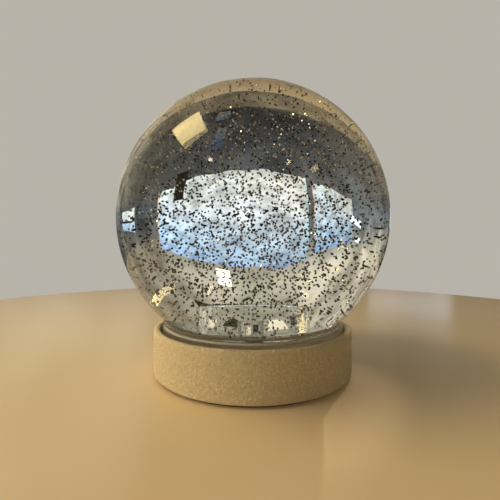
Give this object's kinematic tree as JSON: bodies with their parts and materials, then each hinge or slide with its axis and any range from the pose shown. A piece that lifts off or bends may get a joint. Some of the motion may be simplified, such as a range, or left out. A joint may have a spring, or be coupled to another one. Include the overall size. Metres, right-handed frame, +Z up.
{
  "type": "snow globe",
  "caption": "Clear water-filled glitter ball on a low cream ring base, with a clear stopper, a raised cup inside and a soft fill plug.",
  "frame": {"origin": "middle of the foot pad's underside, on the surface that the globe stands on", "axes": "+Z up along the axis of the ball and the base; the front looks along -Y"},
  "size_m": [0.1, 0.1, 0.1072],
  "materials": {
    "clear_glass": "polished",
    "liquid": "polished",
    "clear_plastic": "polished",
    "silicone": "satin",
    "plug_rubber": "satin",
    "glitter": "polished",
    "cream_resin": "matte",
    "foam": "matte",
    "felt": "matte"
  },
  "bodies": {
    "base": {"base_ring": "cream_resin", "foot_pad": "felt"},
    "globe": {"glass_globe": "clear_glass", "stopper": "clear_plastic", "neck_gasket": "silicone", "spigot_o_ring": "silicone", "seat_pad": "foam"},
    "plug": {"fill_plug": "plug_rubber"},
    "liquid": {"water_fill": "liquid", "glitter_flakes": "glitter"}
  },
  "joints": [
    {"name": "globe_lift", "type": "slide", "parent": "base", "child": "globe", "axis": [0, 0, 1], "range_m": [0, 0.02]},
    {"name": "plug_pull", "type": "slide", "parent": "globe", "child": "plug", "axis": [0, 0, -1], "range_m": [0, 0.0085]},
    {"name": "liquid_swirl", "type": "hinge", "parent": "globe", "child": "liquid", "pos_m": [0, 0, 0.057], "axis": [0, 0, 1], "continuous": true}
  ]
}
